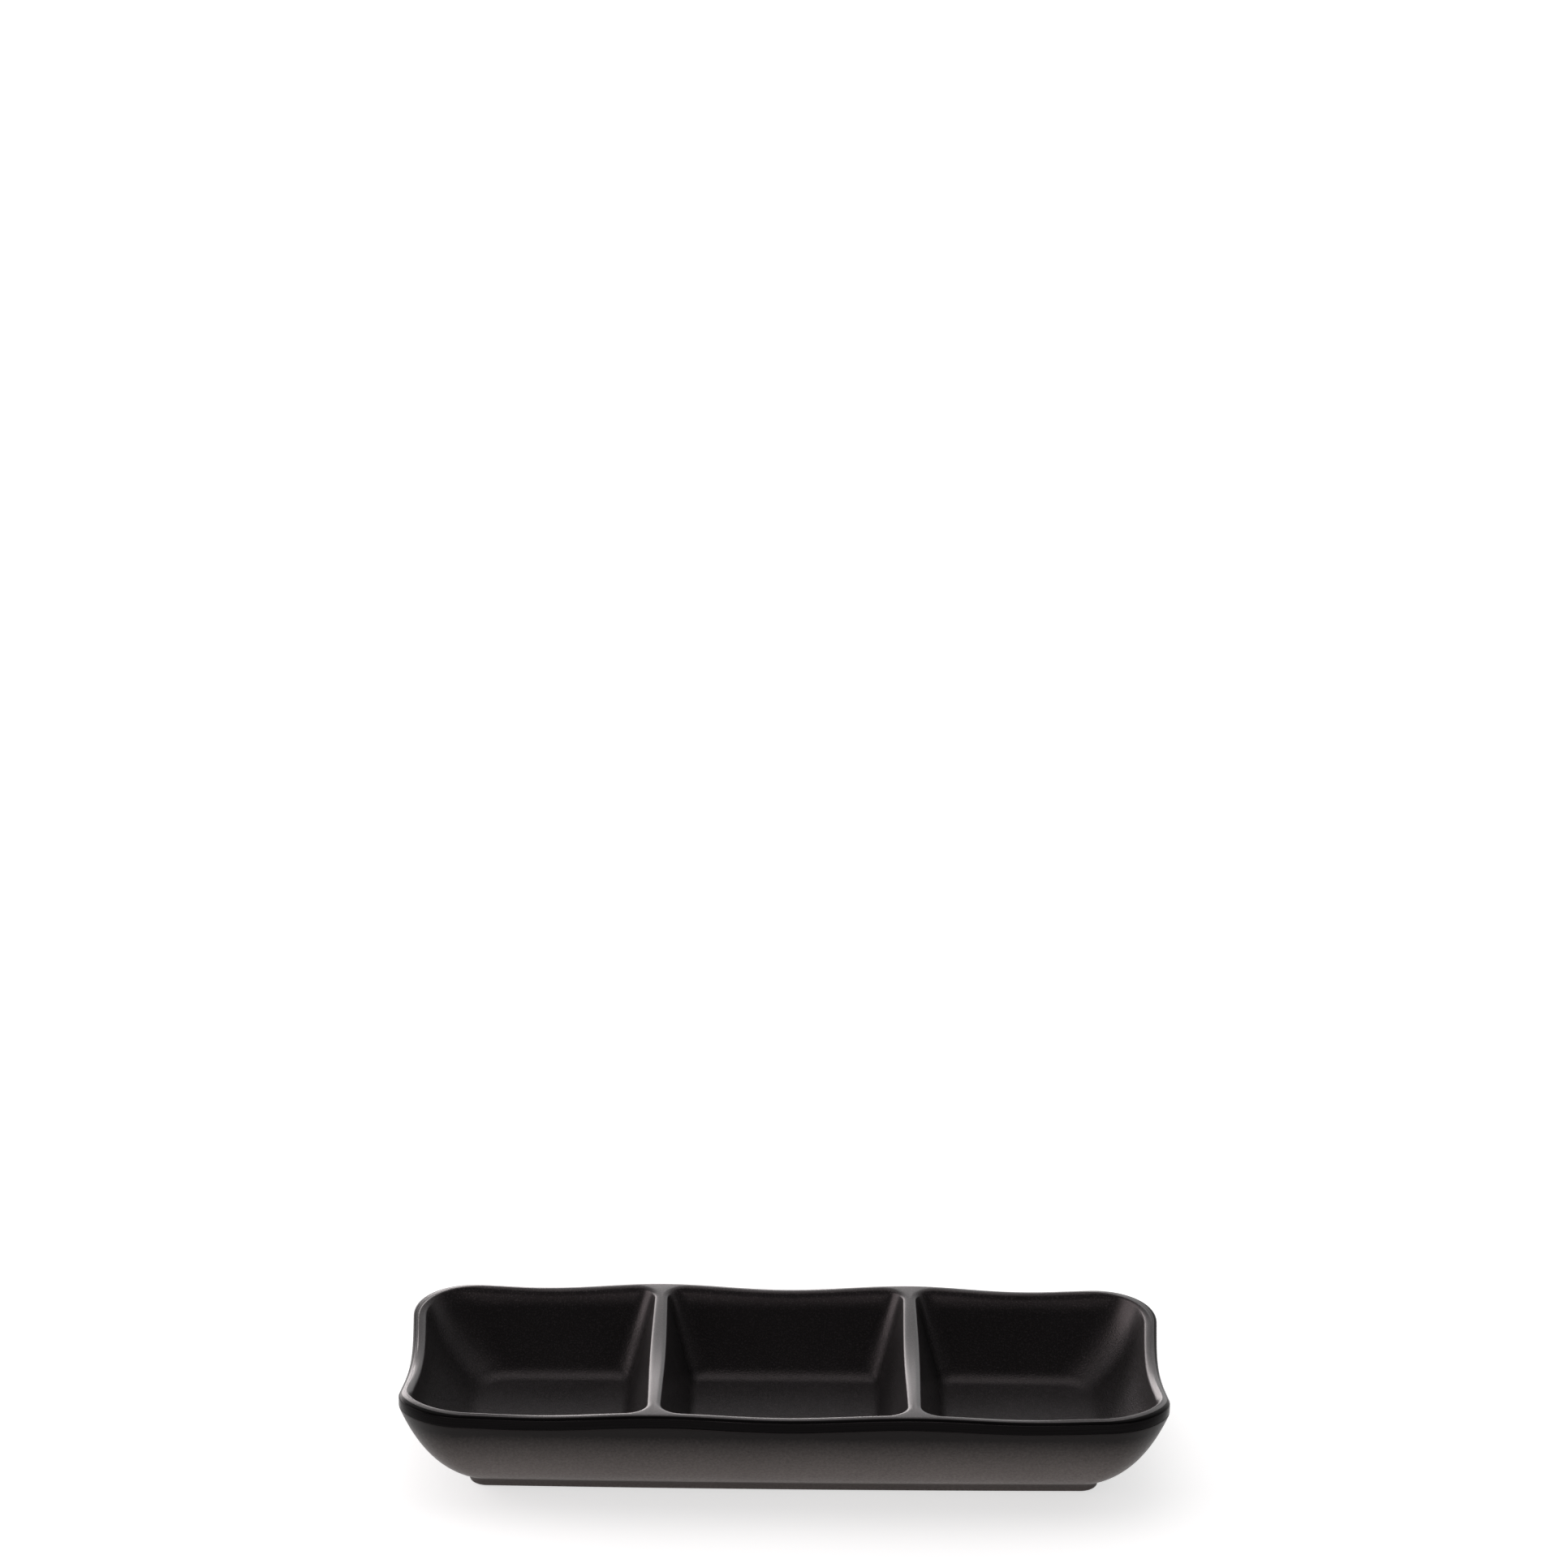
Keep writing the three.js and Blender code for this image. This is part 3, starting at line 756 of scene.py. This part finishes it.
def shell_finish():
    """Satin charcoal moulding: a fine mottle, orange-peel relief, pinholes and scuffs on the foot, with
    painted shading on the foot's face and a fade that is partly painted light.
    """
    finish = Finish("shell_charcoal")
    place = finish.place()
    cloud = finish.noise(place, scale=30, detail=3)
    mottle = finish.noise(place, scale=1400, detail=3, roughness=0.65)
    peel = finish.noise(place, scale=520)
    scuffs = finish.noise(finish.place(scale=(1, 1, 0.2)), scale=1500, detail=3, roughness=0.7)
    cells = finish.add("ShaderNodeTexVoronoi", "Distance", Vector=place, Scale=PINHOLE_CELLS)
    pinhole = finish.span(cells, 0.0, PINHOLE_REACH, 1.0, 0.0)
    height = finish.add("ShaderNodeSeparateXYZ", "Z", Vector=place)
    low = finish.span(height, *WORN_TOP, 1.0, 0.0)
    worn = finish.math("MULTIPLY", low, finish.span(scuffs, 0.45, 0.65))
    wander = finish.span(mottle, 0.3, 0.7, -FADE_AND_PAINTED_SHADE_WANDER, FADE_AND_PAINTED_SHADE_WANDER)
    # Painted shading under the band and painted floor light lower down, partly the moulding's own fade.
    fade_and_painted_shade = finish.span(finish.math("ADD", height, wander), *FADE_AND_PAINTED_SHADE_RISE)
    # Painted shading on the foot's face.
    foot_painted_shade = finish.span(height, *FOOT_PAINTED_SHADE_TOP, FOOT_PAINTED_SHADE_SHARE, 0.0)
    charcoal = finish.tint(finish.span(cloud, 0.3, 0.7), *CHARCOALS)
    charcoal = finish.tint(finish.span(mottle, 0.35, 0.65, 0.0, MOTTLE_SHARE), charcoal, MOTTLE_COLOUR)
    charcoal = finish.tint(fade_and_painted_shade, charcoal, FADE_AND_PAINTED_SHADE_COLOUR)
    charcoal = finish.tint(foot_painted_shade, charcoal, FOOT_PAINTED_SHADE_COLOUR)
    charcoal = finish.tint(pinhole, charcoal, PINHOLE_COLOUR)
    charcoal = finish.tint(worn, charcoal, WORN_COLOUR)
    relief = finish.math("SUBTRACT", peel, finish.math("MULTIPLY", pinhole, PINHOLE_DEPTH))
    finish.surface("Base Color", charcoal)
    finish.surface("Roughness", finish.span(mottle, 0.3, 0.7, *SHELL_ROUGHNESS))
    finish.surface("Specular Tint", SHELL_SPECULAR_TINT)
    finish.surface("Specular IOR Level", SHELL_SPECULAR)
    finish.surface("Normal", finish.bump(relief, SHELL_RELIEF))
    return finish.material


tray.data.materials.append(tray_finish())
tray.data.materials.append(band_finish())
shell.data.materials.append(shell_finish())


def floor_finish():
    """Matt pale floor, with a lift to white that only the camera and reflections see."""
    finish = Finish("floor_white")
    seen = finish.add("ShaderNodeLightPath", "Is Camera Ray")
    rays = seen.node.outputs
    for other in ("Is Glossy Ray", "Is Transmission Ray"):
        seen = finish.math("MAXIMUM", seen, rays[other])
    finish.surface("Base Color", FLOOR_COLOUR)
    finish.surface("Roughness", 1.0)
    finish.surface("Specular IOR Level", 0.0)
    finish.surface("Emission Color", (1, 1, 1, 1))
    finish.surface("Emission Strength", finish.math("MULTIPLY", seen, FLOOR_LIFT))
    return finish.material


# Studio, in metres
FLOOR_HALF = 6.0
LAMP_COLOUR = (1.0, 0.93, 0.93)
# The room's light in front of the dish and behind it, and the directions between which it changes
ROOM_LIGHT = (0.135, 1.2)
ROOM_CHANGE = (-0.2, 0.95)
# The photograph's camera, from a fit to the dish's outline: its angles are in degrees.
CAMERA_PLACE = (0.0008, -1.2492, 0.5951)
CAMERA_TURN = 0.112
CAMERA_DIP = 17.911
CAMERA_ROLL = 0.523
CAMERA_LENS = 113.66
CAMERA_SENSOR = 36

floor_mesh = bpy.data.meshes.new("floor")
floor_corners = [(x * FLOOR_HALF, y * FLOOR_HALF, 0) for x, y in ((-1, -1), (1, -1), (1, 1), (-1, 1))]
floor_mesh.from_pydata(floor_corners, [], [(0, 1, 2, 3)])
floor = bpy.data.objects.new("floor", floor_mesh)
floor_mesh.materials.append(floor_finish())
bpy.context.scene.collection.objects.link(floor)


def soft_box(name, place, aim, size, radiance):
    """A rectangular lamp of a set brightness that faces a point."""
    lamp = bpy.data.lights.new(name, "AREA")
    lamp.color = LAMP_COLOUR
    lamp.shape = "RECTANGLE"
    lamp.size, lamp.size_y = size
    lamp.energy = radiance * math.pi * size[0] * size[1]
    made = bpy.data.objects.new(name, lamp)
    made.location = place
    made.rotation_euler = (Vector(aim) - Vector(place)).to_track_quat("-Z", "Y").to_euler()
    made.visible_camera = False
    bpy.context.scene.collection.objects.link(made)


soft_box("left_box", place=(-1.3, 0.0, 0.40), aim=(0, 0, 0.02), size=(1.0, 0.75), radiance=2.4)
soft_box("top_box", place=(-0.1, 0.3, 1.6), aim=(0, 0, 0), size=(1.8, 1.3), radiance=0.6)
soft_box("back_box", place=(-1.65, 3.0, 0.62), aim=(0, 0, 0.1), size=(4.1, 1.0), radiance=3.8)
soft_box("front_box", place=(0.0, -1.6, 0.065), aim=(0, 0, 0.01), size=(2.4, 0.11), radiance=17.5)


def studio_world():
    """A dim room that is lighter behind the dish than in front of it."""
    world = bpy.data.worlds.new("studio")
    world.use_nodes = True
    tree = world.node_tree
    direction = tree.nodes.new("ShaderNodeTexCoord").outputs["Generated"]
    axes = tree.nodes.new("ShaderNodeSeparateXYZ")
    depth = tree.nodes.new("ShaderNodeMapRange")
    tree.links.new(direction, axes.inputs[0])
    tree.links.new(axes.outputs["Y"], depth.inputs[0])
    for socket, value in zip(list(depth.inputs)[1:5], ROOM_CHANGE + ROOM_LIGHT):
        socket.default_value = value
    background = tree.nodes["Background"]
    tree.links.new(depth.outputs[0], background.inputs["Strength"])
    background.inputs["Color"].default_value = (1, 1, 1, 1)
    bpy.context.scene.world = world


studio_world()
bpy.context.scene.view_settings.view_transform = "Standard"

camera_data = bpy.data.cameras.new("camera")
camera_data.lens = CAMERA_LENS
camera_data.sensor_width = CAMERA_SENSOR
camera = bpy.data.objects.new("camera", camera_data)
turn = Matrix.Rotation(math.radians(CAMERA_TURN), 4, "Z")
tilt = Matrix.Rotation(math.radians(90 - CAMERA_DIP), 4, "X")
roll = Matrix.Rotation(math.radians(CAMERA_ROLL), 4, "Z")
camera.matrix_world = Matrix.Translation(CAMERA_PLACE) @ turn @ tilt @ roll
bpy.context.scene.collection.objects.link(camera)
bpy.context.scene.camera = camera
